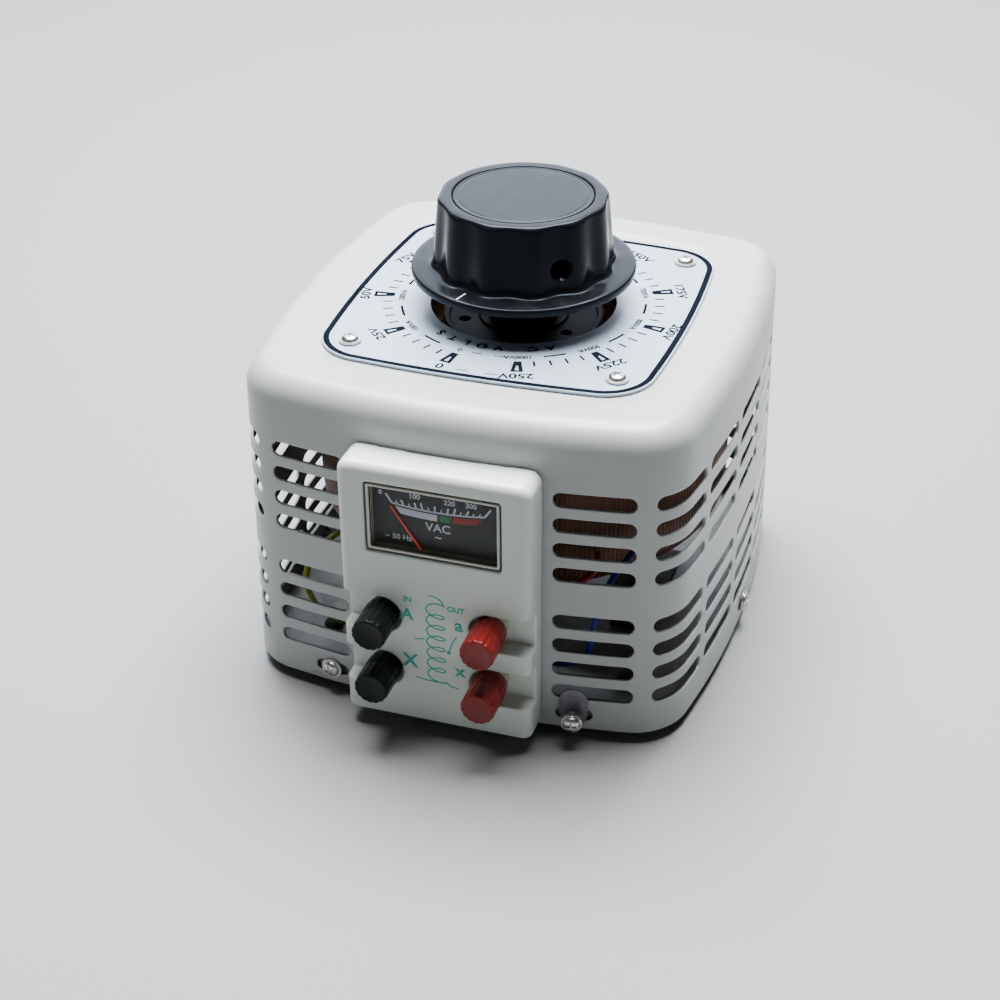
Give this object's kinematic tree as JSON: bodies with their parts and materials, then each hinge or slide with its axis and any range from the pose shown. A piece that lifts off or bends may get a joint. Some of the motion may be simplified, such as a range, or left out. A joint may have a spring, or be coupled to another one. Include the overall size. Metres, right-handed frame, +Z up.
{
  "type": "variac autotransformer",
  "caption": "Bench variable autotransformer: vented steel case, toroid with a swept brush on a dial knob, panel voltmeter and binding posts.",
  "frame": {"origin": "centre of the whole object's footprint, on the surface it stands on", "axes": "+Z up along the knob's axis, -Y out of the front panel, +X to the right seen from the front"},
  "size_m": [0.1942, 0.222, 0.1802],
  "materials": {
    "grey_enamel": "light grey stoved enamel, semi-gloss",
    "rubber": "moulded black rubber",
    "black_bakelite": "moulded black phenolic, glossy",
    "red_plastic": "moulded deep red plastic",
    "white_plastic": "milky white moulded plastic",
    "dial_aluminium": "printed pale blue aluminium plate",
    "bare_aluminium": "bare rolled aluminium",
    "copper": "enamelled copper wire",
    "silicon_steel": "wound strip steel",
    "brass": "turned brass",
    "pressboard": "varnished pressboard",
    "carbon": "carbon brush",
    "clear_acrylic": "clear moulded acrylic",
    "meter_black": "matt black",
    "needle_red": "red lacquer",
    "blue_pvc": "blue wire sleeve",
    "red_pvc": "red wire sleeve",
    "green_yellow_pvc": "green and yellow wire sleeve",
    "zinc_steel": "zinc plated steel"
  },
  "bodies": {
    "housing": {"enclosure_shell": "grey_enamel", "base_plate": "zinc_steel", "foot_front_left": "rubber", "foot_front_right": "rubber", "foot_rear_right": "rubber", "foot_rear_left": "rubber", "case_screw_front_left": "zinc_steel", "case_screw_right": "zinc_steel", "case_screw_rear_right": "zinc_steel", "case_screw_rear_left": "zinc_steel", "case_screw_left": "zinc_steel", "earth_screw": "zinc_steel", "earth_tag": "zinc_steel", "dial_plate": "dial_aluminium", "dial_screw_front_left": "zinc_steel", "dial_screw_front_right": "zinc_steel", "dial_screw_rear_right": "zinc_steel", "dial_screw_rear_left": "zinc_steel", "toroid_core": "silicon_steel", "support_bracket": "zinc_steel", "lower_insulator": "pressboard", "clamp_plate": "black_bakelite", "bearing_tube": "zinc_steel", "tube_nut": "zinc_steel", "lower_bush": "brass", "upper_bush": "brass", "slip_ring": "brass", "stop_block": "zinc_steel", "winding": "copper", "commutator_track": "copper", "front_panel": "white_plastic", "meter_case": "meter_black", "meter_dial": "meter_black", "meter_window": "clear_acrylic", "post_stud_in_upper": "brass", "post_stud_in_lower": "brass", "post_stud_out_upper": "brass", "post_stud_out_lower": "brass", "lead_blue": "blue_pvc", "lead_red": "red_pvc", "lead_earth": "green_yellow_pvc"},
    "rotor": {"shaft": "zinc_steel", "rotor_hub": "black_bakelite", "brush_arm": "bare_aluminium", "brush_holder": "brass", "brush_spring": "zinc_steel", "knob": "black_bakelite", "knob_cap": "black_bakelite", "knob_set_screw": "zinc_steel"},
    "brush": {"carbon_brush": "carbon"},
    "needle": {"meter_needle": "needle_red"},
    "clamp_in_upper": {"post_washer_in_upper": "brass"},
    "cap_in_upper": {"post_cap_in_upper": "black_bakelite"},
    "clamp_in_lower": {"post_washer_in_lower": "brass"},
    "cap_in_lower": {"post_cap_in_lower": "black_bakelite"},
    "clamp_out_upper": {"post_washer_out_upper": "brass"},
    "cap_out_upper": {"post_cap_out_upper": "red_plastic"},
    "clamp_out_lower": {"post_washer_out_lower": "brass"},
    "cap_out_lower": {"post_cap_out_lower": "red_plastic"}
  },
  "joints": [
    {"name": "knob_turn", "type": "hinge", "parent": "housing", "child": "rotor", "pos_m": [0, 0.01353, 0.15], "axis": [0, 0, -1], "range_deg": [-9.5, 321.5]},
    {"name": "brush_slide", "type": "slide", "parent": "rotor", "child": "brush", "axis": [0, 0, 1], "range_m": [0, 0.002], "stiffness_N_per_m": 300, "springref_m": -0.003, "deforming": ["brush_spring"]},
    {"name": "needle_swing", "type": "hinge", "parent": "housing", "child": "needle", "pos_m": [0, -0.09227, 0.074], "axis": [0, 1, 0], "range_deg": [0, 68], "stiffness_Nm_per_rad": 0.00002, "springref_deg": -20.05},
    {"name": "clamp_slide_in_upper", "type": "slide", "parent": "housing", "child": "clamp_in_upper", "axis": [0, -1, 0], "range_m": [0, 0.0049]},
    {"name": "cap_turn_in_upper", "type": "hinge", "parent": "clamp_in_upper", "child": "cap_in_upper", "pos_m": [-0.021, -0.09647, 0.0535], "axis": [0, -1, 0], "range_deg": [0, 2545]},
    {"name": "clamp_slide_in_lower", "type": "slide", "parent": "housing", "child": "clamp_in_lower", "axis": [0, -1, 0], "range_m": [0, 0.0049]},
    {"name": "cap_turn_in_lower", "type": "hinge", "parent": "clamp_in_lower", "child": "cap_in_lower", "pos_m": [-0.021, -0.09647, 0.029], "axis": [0, -1, 0], "range_deg": [0, 2545]},
    {"name": "clamp_slide_out_upper", "type": "slide", "parent": "housing", "child": "clamp_out_upper", "axis": [0, -1, 0], "range_m": [0, 0.0049]},
    {"name": "cap_turn_out_upper", "type": "hinge", "parent": "clamp_out_upper", "child": "cap_out_upper", "pos_m": [0.021, -0.09647, 0.0535], "axis": [0, -1, 0], "range_deg": [0, 2545]},
    {"name": "clamp_slide_out_lower", "type": "slide", "parent": "housing", "child": "clamp_out_lower", "axis": [0, -1, 0], "range_m": [0, 0.0049]},
    {"name": "cap_turn_out_lower", "type": "hinge", "parent": "clamp_out_lower", "child": "cap_out_lower", "pos_m": [0.021, -0.09647, 0.029], "axis": [0, -1, 0], "range_deg": [0, 2545]}
  ],
  "couplings": [
    {"joint": "cap_turn_in_upper", "follows": "clamp_slide_in_upper", "rad_per_m": 8976},
    {"joint": "cap_turn_in_lower", "follows": "clamp_slide_in_lower", "rad_per_m": 8976},
    {"joint": "cap_turn_out_upper", "follows": "clamp_slide_out_upper", "rad_per_m": 8976},
    {"joint": "cap_turn_out_lower", "follows": "clamp_slide_out_lower", "rad_per_m": 8976}
  ]
}
